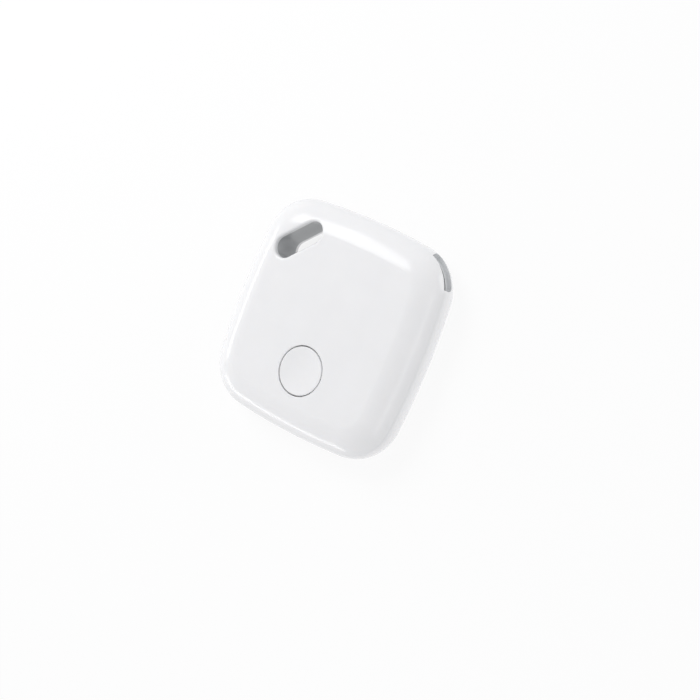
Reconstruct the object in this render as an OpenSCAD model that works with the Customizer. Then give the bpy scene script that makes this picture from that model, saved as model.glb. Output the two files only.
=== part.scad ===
// Square item-finder tag: two snapped shells around a coin cell, a circuit board, a buzzer and a button.
// The tag lies on its back. The origin is the middle of the back face, +Z points out of the front face,
// and X and Y run along the sides. The keyring slot is in the -X +Y corner, the pry notch in the +X +Y
// corner, and the button is near the -Y side. Sizes are in millimetres, angles in degrees.

/* [Case] */
// Width and length of the tag on its widest line
tag_side = 40; // [40:1:52]
// Thickness from the back face to the front face
tag_h = 8; // [8:0.2:11]
// Radius of the corners, seen from the front
corner_r = 8.6; // [7.8:0.2:11]
// Radius of the slight outward bow of each side
side_r = 130; // [90:10:300]
// Height of the widest line above the back
belt_h = 4; // [3.6:0.1:4.4]
// Height of the seam between the two shells
seam_h = 5; // [4.6:0.1:5.2]
// How far the front edge rounding reaches in from the outline
front_round = 5.3; // [4:0.1:5.6]
// Fullness of the front rounding, where 2 is an ellipse and less is flatter
front_full = 1.56; // [1.4:0.02:2.4]
// How far the back edge rounding reaches in from the outline
back_round = 4; // [3:0.1:5]
// Fullness of the back rounding
back_full = 2.4; // [1.6:0.1:3]
// Thickness of the side walls
side_wall = 1.2; // [1.1:0.05:1.5]
// Thickness of the front face
front_wall = 1; // [0.9:0.05:1.3]
// Thickness of the back face
back_wall = 1.1; // [0.9:0.05:1.4]

/* [Keyring slot] */
// Length of the slot, across the corner
slot_l = 10; // [8:0.5:12]
// Width of the slot
slot_w = 4; // [3:0.25:5]
// Distance from the tip of the corner to the middle of the slot
slot_in = 8.2; // [7.6:0.1:9]
// Distance of the slot's middle from the corner's diagonal, towards +X +Y
slot_off = 0.85; // [0:0.05:1.2]
// Rounding of the slot's two mouths
slot_lip = 0.35; // [0.2:0.05:0.5]
// Wall of the grey liner in the slot
liner_wall = 0.8; // [0.6:0.1:1]

/* [Button] */
// Diameter of the hole for the button
button_d = 9; // [8:0.2:11]
// Distance from the side of the tag to the middle of the button
button_in = 11.2; // [10:0.2:13]
// Gap all round the button cap
button_gap = 0.15; // [0.1:0.05:0.3]
// Depth of the dished face of the cap
button_dish = 0.25; // [0.1:0.05:0.4]
// Width of the flange that keeps the cap in
flange_w = 0.85; // [0.6:0.05:1.2]
// Travel of the button and of the switch plunger
press = 0.2; // [0.1:0.05:0.2]

/* [Coin cell] */
// Diameter of the coin cell
cell_d = 20; // [16:0.5:23]
// Thickness of the coin cell
cell_h = 3.2; // [2.5:0.1:3.2]
// Thickness of the foam pad under the cell
pad_t = 0.2; // [0.1:0.05:0.3]
// Gap between the cell and the ring that holds it
cell_gap = 0.25; // [0.15:0.05:0.4]
// Wall of the ring that holds the cell
ring_wall = 0.8; // [0.6:0.1:1]
// Thickness of the spring sheet of the contacts
contact_t = 0.15; // [0.1:0.05:0.2]

/* [Board] */
// Thickness of the circuit board
board_t = 0.8; // [0.6:0.1:1]
// Space between the board and the front shell
part_gap = 1.3; // [1.3:0.05:1.6]
// Distance from the widest line of the tag to the board's edge
board_in = 3.4; // [3:0.1:4]
// Core diameter of the three board screws
screw_d = 1; // [0.8:0.1:1.2]
// Distance from the tip of a corner to the middle of its screw
screw_in = 5.8; // [5.4:0.1:6.4]

/* [Buzzer] */
// Diameter of the brass plate
buzzer_d = 15; // [12:0.5:16]
// Distance of the buzzer's middle from the tag's middle, towards +X
buzzer_x = 4.2; // [3:0.1:5]
// Distance of the buzzer's middle from the tag's middle, towards +Y
buzzer_y = 5.8; // [5:0.1:6.5]

/* [Hidden] */
$fn = 64;

// Outline: each side is a wide arc, each corner a small arc that meets two of them smoothly
side_steps = 4;
corner_steps = 10;
bow_c = side_r - tag_side / 2;
corner_c = (sqrt(2 * pow(side_r - corner_r, 2) - pow(bow_c, 2)) - bow_c) / 2;
side_a = atan2(corner_c, corner_c + bow_c);
corner_tip = corner_c * sqrt(2) + corner_r;

// Heights, from the back face up
inner_gain = 0.2;
ceiling_h = tag_h - front_wall;
cell_z = back_wall + pad_t;
cell_top = cell_z + cell_h;
board_top = ceiling_h - part_gap;
board_z = board_top - board_t;
front_steps = 9;
back_steps = 8;
belt_steps = 2;
overrun = 1;

// Seam: a seal lies on a ledge inside the cover's thin skin, and the front shell's lip comes down on it
seam_skin = 0.7;
seal_gap = 0.05;
seal_t = 0.5;
ledge_h = seam_h - 0.95;
lip_gap = 0.12;
lip_in = side_wall + 0.4;
lip_h = ledge_h + seal_t + 0.03;
lip_root = 0.5;
tab_w = 6;
tab_t = 0.6;
tab_in = side_wall + 0.35;
tab_drop = 1.9;

// Pry notch in the cover's upper edge
notch_h = 1.85;
notch_l = 7.5;
notch_d = 0.75;
notch_a = notch_l / corner_r * 180 / PI;

// Slot and its liner
slot_c = (corner_tip - slot_in) / sqrt(2);
liner_l = slot_l + 2 * liner_wall;
liner_w = slot_w + 2 * liner_wall;
liner_gap = 0.06;
liner_seat = 0.1;
collar_t = 0.7;
collar_h = 1.4;

// Button, seen from its own middle
button_y = button_in - tag_side / 2;
cap_r = button_d / 2 - button_gap;
cap_edge = 0.18;
cap_h = tag_h - 0.03;
flange_r = cap_r + flange_w;
flange_gap = 0.06;
flange_t = 0.42;
flange_z = ceiling_h - flange_gap - flange_t;
cap_hollow_r = cap_r - 0.85;
cap_hollow_h = ceiling_h - 0.08;
guide_gap = 0.3;
guide_t = 0.7;
guide_h = 0.75;

// Switch, seen from the board's upper face
switch_w = 4.8;
switch_floor = 0.1;
switch_wall_h = 0.42;
dome_r = 1.85;
dome_t = 0.06;
dome_h = 0.23;
plunger_flange_r = 1.3;
plunger_flange_t = 0.12;
plunger_r = 0.9;
plunger_hole_r = 1;
plunger_z = switch_floor + dome_h + 0.01;
cover_plate_z = plunger_z + plunger_flange_t + 0.02;
cover_plate_t = 0.12;
plunger_top = cover_plate_z + cover_plate_t + press + 0.05;
pad_gap = 0.02;
pad_r = 1.8;
button_pad_t = 0.2;
button_pad_z = board_top + plunger_top + pad_gap;

// Cell, seen from its own underside
can_wall = 0.25;
can_h = cell_h - 0.2;
can_round = 0.45;
crimp_w = 0.7;
gasket_t = 0.35;
ring_h = cell_h * 0.65;
window_a = 18;
tab_at = [-70, -20];
contact_w = 2.3;
contact_gap = 0.04;
contact_foot = 1.9;

// Board
board_half = tag_side / 2 - board_in;
board_cut = corner_tip - slot_in - liner_w / 2 - 0.5;
screw_c = (corner_tip - screw_in) / sqrt(2);
screw_at = [[1, 1], [1, -1], [-1, -1]];
screw_head_r = 1.1;
screw_head_h = 0.35;
screw_bite = 1.5;
screw_play = 0.03;
boss_r = 1.7;
hole_play = 0.25;

// Buzzer, hung from the ceiling
tape_t = 0.2;
tape_w = 1;
plate_t = 0.15;
ceramic_t = 0.12;
ceramic_r = buzzer_d / 2 * 0.72;
plate_z = ceiling_h - tape_t - plate_t;
ceramic_z = plate_z - ceramic_t;
frame_gap = 0.15;
frame_t = 0.6;
frame_h = 0.5;
spring_w = 1;

function turn(p, a) = [p.x * cos(a) - p.y * sin(a), p.x * sin(a) + p.y * cos(a)];
function side_pt(a, d) = [(side_r - d) * cos(a) - bow_c, (side_r - d) * sin(a)];
function corner_pt(a, d) = [corner_c + (corner_r - d) * cos(a), corner_c + (corner_r - d) * sin(a)];
function quarter(d) = concat(
    [for (i = [0 : side_steps - 1]) side_pt(side_a * (2 * i / side_steps - 1), d)],
    [for (i = [0 : corner_steps - 1]) corner_pt(side_a + (90 - 2 * side_a) * i / corner_steps, d)]
);
function outline(d) = [for (k = [0 : 3]) for (p = quarter(d)) turn(p, 90 * k)];

// One point of an edge rounding: how far in from the outline, and how far above or below the belt
function edge_in(q, reach, full) = reach * (1 - pow(cos(q), 2 / full));
function edge_up(q, rise, full) = rise * pow(sin(q), 2 / full);
function edge_q(up, rise, full) = asin(pow(up / rise, full / 2));

// Distance from the widest line in to the front shell's inside, at height z
function wall_in(z) = side_wall + edge_in(
    edge_q(z - belt_h, ceiling_h - belt_h, front_full), front_round - side_wall + inner_gain, front_full);

// Stations [inset, height] up the front rounding and down the back rounding, for a wall of thickness w
function front_run(q0, q1, n, w, rise, reach) = [
    for (i = [0 : n]) let (q = q0 + (q1 - q0) * i / n)
        [w + edge_in(q, reach, front_full), belt_h + edge_up(q, rise, front_full)]
];
function back_run(n, w, rise, reach) = [
    for (i = [0 : n - 1]) let (q = 90 - 90 * i / n)
        [w + edge_in(q, reach, back_full), belt_h - edge_up(q, rise, back_full)]
];

// Solid through a list of stations, each an inset outline at its own height
module loft(stations) {
    n = len(outline(0));
    m = len(stations);
    points = [for (s = stations) for (p = outline(s[0])) [p.x, p.y, s[1]]];
    sides = [
        for (k = [0 : m - 2]) for (i = [0 : n - 1])
            [k * n + i, (k + 1) * n + i, (k + 1) * n + (i + 1) % n, k * n + (i + 1) % n]
    ];
    bottom = [for (i = [0 : n - 1]) i];
    top = [for (i = [0 : n - 1]) m * n - 1 - i];
    polyhedron(points, concat([bottom], sides, [top]));
}

// Prism of the inset outline, and a band between two insets
module prism(d, z0, z1) {
    translate([0, 0, z0])
        linear_extrude(z1 - z0)
            polygon(outline(d));
}

module band(d_out, d_in, z0, z1) {
    difference() {
        prism(d_out, z0, z1);
        prism(d_in, z0 - overrun, z1 + overrun);
    }
}

module tube(r_out, r_in, z0, z1) {
    translate([0, 0, z0])
        difference() {
            cylinder(r = r_out, h = z1 - z0);
            translate([0, 0, -overrun])
                cylinder(r = r_in, h = z1 - z0 + 2 * overrun);
        }
}

module disc(r, z0, z1) {
    translate([0, 0, z0])
        cylinder(r = r, h = z1 - z0);
}

module stadium(l, w) {
    square([l - w, w], center = true);
    for (s = [-1, 1])
        translate([s * (l - w) / 2, 0])
            circle(d = w);
}

module round_plate(w, l, r) {
    square([w - 2 * r, l], center = true);
    square([w, l - 2 * r], center = true);
    for (x = [-1, 1], y = [-1, 1])
        translate([x * (w / 2 - r), y * (l / 2 - r)])
            circle(r = r);
}

module at_slot() {
    translate([-slot_c, slot_c, 0])
        rotate(45)
            translate([slot_off, 0, 0])
                children();
}

module at_button() {
    translate([0, button_y, 0])
        children();
}

module at_buzzer() {
    translate([buzzer_x, buzzer_y, 0])
        children();
}

module at_screws() {
    for (s = screw_at)
        translate([s.x * screw_c, s.y * screw_c, 0])
            children();
}

module slot_prism(grow, z0, z1) {
    at_slot()
        translate([0, 0, z0])
            linear_extrude(z1 - z0)
                stadium(slot_l + 2 * grow, slot_w + 2 * grow);
}

// Chamfer of a slot mouth in the face at height z, cut a little past both of its ends
module slot_chamfer(z, inward) {
    e = 0.02;
    h = slot_lip + 2 * e;
    at_slot()
        translate([0, 0, z - inward * slot_lip / 2])
            mirror([0, 0, inward < 0 ? 1 : 0])
                hull()
                    for (s = [-1, 1])
                        translate([s * (slot_l - slot_w) / 2, 0, 0])
                            cylinder(r1 = slot_w / 2 - e, r2 = slot_w / 2 + slot_lip + e, h = h,
                                center = true, $fn = 32);
}

module liner_pocket(z0, z1) {
    slot_prism(liner_wall + liner_gap, z0, z1);
}

module back_cover() {
    seam_q = edge_q(seam_h - belt_h, tag_h - belt_h, front_full);
    inner_q = edge_q(seam_h - belt_h, ceiling_h - belt_h, front_full);
    inner_front = front_round - side_wall + inner_gain;
    inner_back = back_round - side_wall + inner_gain;
    color("white")
        difference() {
            union() {
                difference() {
                    loft(concat(
                        back_run(back_steps, 0, belt_h, back_round),
                        front_run(0, seam_q, belt_steps, 0, tag_h - belt_h, front_round)
                    ));
                    loft(concat(
                        back_run(back_steps, side_wall, belt_h - back_wall, inner_back),
                        front_run(0, inner_q + overrun, belt_steps, side_wall, ceiling_h - belt_h, inner_front)
                    ));
                }
                cell_ring();
                slot_collar();
            }
            prism(seam_skin, ledge_h, seam_h + overrun);
            liner_pocket(back_wall, seam_h + overrun);
            slot_prism(0, -overrun, seam_h);
            slot_chamfer(0, -1);
            pry_notch();
        }
}

// Ring that keeps the cell in place, open where the positive contact comes down
module cell_ring() {
    r_in = cell_d / 2 + cell_gap;
    difference() {
        tube(r_in + ring_wall, r_in, back_wall - 0.1, cell_z + ring_h);
        for (a = tab_at)
            rotate(a)
                translate([cell_d / 2, 0, cell_z + cell_h / 2])
                    cube([4 * ring_wall, 2 * (cell_d / 2) * sin(window_a / 2), cell_h], center = true);
    }
}

module slot_collar() {
    difference() {
        slot_prism(liner_wall + liner_gap + collar_t, back_wall - 0.1, back_wall + collar_h);
        liner_pocket(back_wall - overrun, seam_h);
    }
}

// Curved pocket round the corner, with round ends
module pry_notch() {
    end_a = notch_a / 2 - notch_h / 2 / corner_r * 180 / PI;
    mid_z = seam_h - notch_h / 2;
    translate([corner_c, corner_c, 0])
        rotate(45) {
            rotate([0, 0, -end_a])
                rotate_extrude(angle = 2 * end_a)
                    translate([corner_r - notch_d, mid_z - notch_h / 2])
                        square([notch_d + overrun, notch_h]);
            for (s = [-1, 1])
                rotate(s * end_a)
                    translate([corner_r - notch_d, 0, mid_z])
                        rotate([0, 90, 0])
                            cylinder(d = notch_h, h = notch_d + overrun);
        }
}

module seal_ring() {
    color("dimgray")
        band(seam_skin + seal_gap, side_wall, ledge_h, ledge_h + seal_t);
}

module slot_liner() {
    color("darkgray")
        difference() {
            slot_prism(liner_wall, back_wall, ceiling_h + liner_seat - liner_gap);
            slot_prism(0, back_wall - overrun, ceiling_h + overrun);
        }
}

module cell_pad() {
    color("black")
        disc(cell_d * 0.4, back_wall, cell_z);
}

// Quarter arc of points from angle a0 to a1 about c
function arc(c, r, a0, a1, n) = [for (i = [0 : n]) let (a = a0 + (a1 - a0) * i / n) [c.x + r * cos(a), c.y + r * sin(a)]];

// Steel cup, open at the top, its rim rolled in over the gasket
module cell_can() {
    r = cell_d / 2;
    outside = concat(
        [[0, 0]],
        arc([r - can_round, can_round], can_round, -90, 0, 4),
        arc([r - can_round, can_h - can_round], can_round, 0, 90, 4)
    );
    inside = [
        [r - crimp_w, can_h],
        [r - crimp_w, can_h - can_wall],
        [r - can_wall, can_h - 2 * can_wall],
        [r - can_wall, can_wall],
        [0, can_wall]
    ];
    color("silver")
        translate([0, 0, cell_z])
            rotate_extrude()
                polygon(concat(outside, inside));
}

module cell_core() {
    color("darkslategray")
        disc(cell_d / 2 - can_wall - 0.02, cell_z + can_wall, cell_z + can_h - 4 * can_wall);
}

module cell_gasket() {
    r = cell_d / 2 - can_wall - 0.02;
    color("lightyellow")
        translate([0, 0, cell_z])
            rotate_extrude()
                polygon([
                    [r - gasket_t, can_h - 4 * can_wall],
                    [r, can_h - 4 * can_wall],
                    [r, can_h - 2.2 * can_wall],
                    [r - gasket_t - 0.1, can_h - 1.2 * can_wall],
                    [r - crimp_w - 0.1, can_h - 1.2 * can_wall],
                    [r - crimp_w - 0.1, can_h - 2.4 * can_wall],
                    [r - gasket_t, can_h - 2.6 * can_wall]
                ]);
}

// Shallow lid that stands a little proud of the can
module cell_cap() {
    r = cell_d / 2 - crimp_w - can_wall - 0.2;
    color("lightgray")
        translate([0, 0, cell_z])
            rotate_extrude()
                polygon(concat(
                    [[0, can_h - 4 * can_wall], [r, can_h - 4 * can_wall]],
                    arc([r - can_wall, cell_h - can_wall], can_wall, 0, 90, 3),
                    [[0, cell_h]]
                ));
}

module front_shell() {
    rise = tag_h - belt_h;
    inner_rise = ceiling_h - belt_h;
    inner_front = front_round - side_wall + inner_gain;
    seam_q = edge_q(seam_h - belt_h, rise, front_full);
    color("white")
        difference() {
            union() {
                difference() {
                    loft(front_run(seam_q, 90, front_steps, 0, rise, front_round));
                    loft(front_run(0, 90, front_steps, side_wall, inner_rise, inner_front));
                }
                band(seam_skin + lip_gap, lip_in, lip_h, seam_h + lip_root);
                snap_tabs();
                button_guide();
                buzzer_frame();
                screw_bosses();
            }
            at_button()
                disc(button_d / 2, flange_z, tag_h + overrun);
            at_screws()
                disc(screw_d / 2 + screw_play, board_z, board_top + screw_bite + 0.1);
            liner_pocket(lip_h - overrun, ceiling_h + liner_seat);
            slot_prism(0, seam_h, tag_h + overrun);
            slot_chamfer(tag_h, 1);
        }
}

// Springy tabs in the middle of each side that slide down inside the cover's wall
module snap_tabs() {
    for (a = [0 : 90 : 270])
        rotate(a)
            translate([tag_side / 2 - tab_in - tab_t, -tab_w / 2, seam_h - tab_drop])
                cube([tab_t, tab_w, tab_drop + lip_root]);
}

module button_guide() {
    r = flange_r + guide_gap;
    at_button()
        tube(r + guide_t, r, ceiling_h - guide_h, ceiling_h + 0.1);
}

module buzzer_frame() {
    r = buzzer_d / 2 + frame_gap;
    at_buzzer()
        tube(r + frame_t, r, ceiling_h - frame_h, ceiling_h + 0.1);
}

module screw_bosses() {
    at_screws()
        disc(boss_r, board_top, ceiling_h + 0.1);
}

// Board that follows the case, with its corner cut away beside the slot
module main_board() {
    color("seagreen")
        translate([0, 0, board_z])
            linear_extrude(board_t)
                difference() {
                    polygon(outline(board_in));
                    rotate(135)
                        translate([board_cut, -tag_side])
                            square(2 * tag_side);
                    at_screws()
                        circle(r = screw_d / 2 + hole_play);
                }
}

module board_screws() {
    color("silver")
        at_screws()
            difference() {
                union() {
                    disc(screw_head_r, board_z - screw_head_h, board_z);
                    disc(screw_d / 2, board_z - 0.1, board_top + screw_bite);
                }
                for (a = [0, 90])
                    rotate(a)
                        translate([0, 0, board_z - screw_head_h])
                            cube([screw_head_r * 1.2, screw_head_r * 0.25, screw_head_h], center = true);
            }
}

// Sheet bent along a path in the X Z plane, w wide in Y, with its thickness upwards
module bent_strip(path, w) {
    up = [for (p = path) [p.x, p.y + contact_t]];
    n = len(path);
    rotate([90, 0, 0])
        translate([0, 0, -w / 2])
            linear_extrude(w)
                polygon(concat(path, [for (i = [n - 1 : -1 : 0]) up[i]]));
}

// Foot under the board with two fingers that press on the middle of the cell's lid
module negative_contact() {
    foot = board_z - contact_t;
    touch = cell_top + 0.01;
    color("gold") {
        for (s = [-1, 1])
            translate([0, s * 1.4, 0])
                bent_strip([[-4, foot], [-1.8, foot], [1.6, touch], [2.6, touch], [3.2, touch + 0.12]], 1.3);
        translate([-5, -2.6, foot])
            cube([2, 5.2, contact_t]);
    }
}

// Bar under the board with two bent tabs that press on the side of the can
module positive_contact() {
    r = cell_d / 2 + contact_gap;
    foot = board_z - contact_t;
    low = cell_z + cell_h * 0.4;
    bulge = cell_z + cell_h * 0.6;
    bar_a = (tab_at[1] - tab_at[0]) / 2;
    bar_l = 2 * (r + contact_foot / 2) * sin(bar_a) + contact_w / 2;
    color("gold") {
        for (a = tab_at)
            rotate(a)
                rotate([90, 0, 0])
                    linear_extrude(contact_w, center = true)
                        polygon([
                            [r + 0.25, low],
                            [r + 0.25 + contact_t, low],
                            [r + contact_t, bulge],
                            [r + 0.3 + contact_t, foot],
                            [r + contact_foot, foot],
                            [r + contact_foot, board_z],
                            [r + 0.3, board_z],
                            [r, bulge]
                        ]);
        rotate(tab_at[0] + bar_a)
            translate([(r + contact_foot) * cos(bar_a) - 1, -bar_l / 2, foot])
                cube([1.2, bar_l, contact_t]);
    }
}

// Flat package of size s that stands on the board
module package(s, place, turn_a = 0) {
    translate([place.x, place.y, board_top])
        rotate(turn_a)
            translate([0, 0, s.z / 2])
                cube(s, center = true);
}

// Radio chip with a row of pads round its lower edge and a dimple that marks pad one
module radio_chip() {
    size = [5, 5, 0.85];
    place = [6.2 - board_half, button_y + 1.2];
    pitch = 0.5;
    color("#222222")
        difference() {
            package(size, place);
            translate([place.x - 1.8, place.y + 1.8, board_top + size.z - 0.05])
                cylinder(r = 0.3, h = overrun);
        }
    color("silver")
        for (a = [0 : 90 : 270], i = [-4 : 4])
            translate([place.x, place.y, board_top])
                rotate(a)
                    translate([size.x / 2, i * pitch - 0.12, 0])
                        cube([0.08, 0.24, 0.2]);
}

module crystal(size, place, turn_a) {
    translate([place.x, place.y, board_top])
        rotate(turn_a) {
            linear_extrude(size.z * 0.6)
                round_plate(size.x, size.y, 0.15);
            linear_extrude(size.z)
                round_plate(size.x - 0.4, size.y - 0.4, 0.3);
        }
}

module fast_crystal() {
    color("lightgray")
        crystal([2.5, 2, 0.6], [5.4 - board_half, button_y + 6.1], 0);
}

module slow_crystal() {
    color("lightgray")
        crystal([3.2, 1.5, 0.75], [9.4 - board_half, button_y + 6.2], 90);
}

module chip_antenna() {
    size = [3.2, 1.6, 0.5];
    wall_gap = 0.83;
    color("ivory")
        package(size, [8.6, wall_in(board_top + size.z) + wall_gap + size.y / 2 - tag_side / 2]);
}

// Wound coil on a square ferrite base, for the buzzer's drive voltage
module boost_coil() {
    place = [board_half - 4.6, button_y + 2.4];
    color("#333333")
        translate([place.x, place.y, board_top]) {
            translate([0, 0, 0.15])
                cube([3, 3, 0.3], center = true);
            disc(0.8, 0.2, 0.9);
            disc(1.45, 0.75, 1);
        }
}

module store_capacitor() {
    color("tan")
        package([3.2, 1.6, 1], [4.4 - board_half, 2.6], 90);
}

// Parts of size s in a row, n of them at a pitch along Y
module part_row(s, start, pitch, n) {
    for (i = [0 : n - 1])
        package(s, [start.x, start.y + i * pitch]);
}

module small_capacitors() {
    color("burlywood") {
        part_row([1, 0.5, 0.5], [2 - board_half, button_y - 0.8], 1.2, 4);
        part_row([1, 0.5, 0.5], [board_half - 2, button_y - 1], 1.2, 3);
        part_row([1.6, 0.8, 0.8], [8.4 - board_half, button_y + 9.6], 1.6, 2);
    }
}

module small_resistors() {
    size = [1, 0.5, 0.35];
    boss_gap = 0.29;
    color("#2b2b2b") {
        part_row(size, [boss_r + boss_gap + size.x / 2 - screw_c, button_y - 5.6], 1, 3);
        part_row(size, [board_half - 8, button_y - 1.6], 1, 3);
    }
}

module buzzer_tape() {
    color("black")
        at_buzzer()
            tube(buzzer_d / 2, buzzer_d / 2 - tape_w, ceiling_h - tape_t, ceiling_h);
}

module buzzer_plate() {
    color("goldenrod")
        at_buzzer()
            disc(buzzer_d / 2, plate_z, plate_z + plate_t);
}

module buzzer_ceramic() {
    color("whitesmoke")
        at_buzzer()
            disc(ceramic_r, ceramic_z, plate_z);
}

// Two bent springs that stand on the board: one reaches the brass plate, the other the ceramic
module buzzer_springs() {
    plate_x = (buzzer_d / 2 + ceramic_r) / 2;
    color("gold")
        at_buzzer() {
            translate([plate_x, 0, 0])
                rotate(90)
                    spring_leaf(plate_z - contact_t);
            spring_leaf(ceramic_z - contact_t);
        }
}

// Finger whose foot is on the board and whose bent end touches at height top over the origin
module spring_leaf(top) {
    bent_strip([[-2.6, board_top], [-1.7, board_top], [-0.3, top], [0.3, top], [0.6, top - 0.12]], spring_w);
}

// Switch body: a tray with a round well for the dome
module switch_base() {
    color("#1c1c1c")
        at_button()
            translate([0, 0, board_top])
                difference() {
                    linear_extrude(switch_wall_h)
                        round_plate(switch_w - 0.3, switch_w - 0.3, 0.4);
                    disc(dome_r + 0.05, switch_floor, switch_wall_h + overrun);
                }
}

// Snap dome: a shallow spherical shell whose rim stands on the floor of the well
module switch_dome() {
    ball_r = (pow(dome_r, 2) + pow(dome_h, 2)) / (2 * dome_h);
    outer_a = asin(dome_r / ball_r);
    inner_a = acos((ball_r - dome_h) / (ball_r - dome_t));
    steps = 6;
    color("silver")
        at_button()
            translate([0, 0, board_top + switch_floor])
                rotate_extrude()
                    polygon(concat(
                        arc([0, dome_h - ball_r], ball_r, 90 - outer_a, 90, steps),
                        arc([0, dome_h - ball_r], ball_r - dome_t, 90, 90 - inner_a, steps)
                    ));
}

// Pressed steel cover with four legs that clip over the base's corners
module switch_cover() {
    leg = 0.9;
    color("silver")
        at_button()
            translate([0, 0, board_top]) {
                difference() {
                    translate([0, 0, cover_plate_z])
                        linear_extrude(cover_plate_t)
                            round_plate(switch_w, switch_w, 0.5);
                    disc(plunger_hole_r, 0, tag_h);
                }
                for (a = [0 : 90 : 270], s = [-1, 1])
                    rotate(a)
                        translate([switch_w / 2 - 0.13, s * 1.3 - leg / 2, 0])
                            cube([0.13, leg, cover_plate_z + 0.05]);
            }
}

module switch_plunger() {
    color("gold")
        at_button()
            translate([0, 0, board_top]) {
                disc(plunger_flange_r, plunger_z, plunger_z + plunger_flange_t);
                disc(plunger_r, plunger_z, plunger_top);
            }
}

// Round cap with a dished face, a flange under the front shell and a hollow over the switch
module button_cap() {
    dish_ball = (pow(cap_r - cap_edge, 2) + pow(button_dish, 2)) / (2 * button_dish);
    dish_a = asin((cap_r - cap_edge) / dish_ball);
    color("white")
        at_button()
            rotate_extrude()
                polygon(concat(
                    [[0, button_pad_z + button_pad_t], [pad_r, button_pad_z + button_pad_t]],
                    [[pad_r, cap_hollow_h], [cap_hollow_r, cap_hollow_h], [cap_hollow_r, flange_z]],
                    [[flange_r, flange_z], [flange_r, flange_z + flange_t], [cap_r, flange_z + flange_t]],
                    arc([cap_r - cap_edge, cap_h - cap_edge], cap_edge, 0, 90, 5),
                    arc([0, cap_h - button_dish + dish_ball], dish_ball, dish_a - 90, -90, 8)
                ));
}

module button_pad() {
    color("gray")
        at_button()
            disc(pad_r, button_pad_z, button_pad_z + button_pad_t);
}

back_cover();
seal_ring();
slot_liner();
cell_pad();
cell_can();
cell_core();
cell_gasket();
cell_cap();
front_shell();
main_board();
board_screws();
negative_contact();
positive_contact();
radio_chip();
fast_crystal();
slow_crystal();
chip_antenna();
boost_coil();
store_capacitor();
small_capacitors();
small_resistors();
buzzer_tape();
buzzer_plate();
buzzer_ceramic();
buzzer_springs();
switch_base();
switch_dome();
switch_cover();
switch_plunger();
button_cap();
button_pad();
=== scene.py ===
import math

import bmesh
import bpy
from mathutils import Matrix, Vector
from mathutils.geometry import delaunay_2d_cdt


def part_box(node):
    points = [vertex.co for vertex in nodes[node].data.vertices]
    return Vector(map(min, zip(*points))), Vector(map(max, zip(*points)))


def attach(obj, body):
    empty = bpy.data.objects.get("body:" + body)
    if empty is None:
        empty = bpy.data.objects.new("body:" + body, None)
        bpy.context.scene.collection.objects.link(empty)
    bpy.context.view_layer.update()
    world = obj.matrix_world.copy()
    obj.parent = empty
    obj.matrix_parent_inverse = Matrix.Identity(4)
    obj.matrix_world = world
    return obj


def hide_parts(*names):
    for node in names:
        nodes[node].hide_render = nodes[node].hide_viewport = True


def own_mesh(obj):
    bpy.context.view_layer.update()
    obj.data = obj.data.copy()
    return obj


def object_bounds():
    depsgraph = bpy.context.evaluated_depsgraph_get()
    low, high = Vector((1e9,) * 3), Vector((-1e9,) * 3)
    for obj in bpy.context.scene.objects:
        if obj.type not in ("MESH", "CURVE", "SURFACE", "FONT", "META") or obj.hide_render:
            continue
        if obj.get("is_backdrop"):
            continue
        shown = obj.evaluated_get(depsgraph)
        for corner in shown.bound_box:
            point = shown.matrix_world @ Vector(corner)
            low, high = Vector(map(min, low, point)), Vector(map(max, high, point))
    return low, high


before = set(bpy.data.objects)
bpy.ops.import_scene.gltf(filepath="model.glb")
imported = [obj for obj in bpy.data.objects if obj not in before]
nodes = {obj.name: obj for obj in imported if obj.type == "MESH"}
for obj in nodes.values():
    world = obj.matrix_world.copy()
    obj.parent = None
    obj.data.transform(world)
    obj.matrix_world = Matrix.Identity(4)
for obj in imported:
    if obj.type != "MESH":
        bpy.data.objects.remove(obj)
cad_low, cad_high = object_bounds()


# ---------------------------------------------------------------------------------------------------------
# Camera. It looks down on the front face from the +X side and is rolled, so that the keyring slot
# points up to the left. The lens is a short telephoto, about a third of a metre from the tag.

MM = 0.001
camera_distance = 319 * MM
camera_elevation = math.radians(58.0)
camera_bearing = math.radians(11.26)
camera_roll = math.radians(77.5)
camera_lens = 94.4
camera_shift = (0.0269, -0.0334)

middle = (cad_low + cad_high) / 2
towards = Vector((
    math.cos(camera_elevation) * math.cos(camera_bearing),
    math.cos(camera_elevation) * math.sin(camera_bearing),
    math.sin(camera_elevation),
))
camera_data = bpy.data.cameras.new("camera")
camera_data.lens = camera_lens
camera_data.sensor_width = 36
camera_data.shift_x, camera_data.shift_y = camera_shift
camera_data.clip_start = 10 * MM
camera = bpy.data.objects.new("camera", camera_data)
bpy.context.scene.collection.objects.link(camera)
turned = towards.to_track_quat("Z", "Y").to_matrix() @ Matrix.Rotation(-camera_roll, 3, "Z")
camera.matrix_world = Matrix.Translation(middle + towards * camera_distance) @ turned.to_4x4()
bpy.context.scene.camera = camera


# ---------------------------------------------------------------------------------------------------------
# Light table and lights. The tag lies on a white glass light table: it glows from below, so it stays
# white and takes only a faint shadow. A soft box and a low box light it, and three long strips give the
# edges their streaks. The studio's walls darken towards the +X side.

def linear(code):
    """Linear colour of an sRGB hex value."""
    parts = [int(code[i:i + 2], 16) / 255 for i in (1, 3, 5)]
    return tuple(c / 12.92 if c < 0.04045 else ((c + 0.055) / 1.055) ** 2.4 for c in parts) + (1.0,)


def add(tree, kind, inputs=None, **settings):
    """Adds one node, with its settings, and for each input a value or another node's output."""
    made = tree.nodes.new(kind)
    for name, value in settings.items():
        setattr(made, name, value)
    for name, value in (inputs or {}).items():
        if isinstance(value, bpy.types.NodeSocket):
            tree.links.new(value, made.inputs[name])
        else:
            made.inputs[name].default_value = value
    return made


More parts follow.
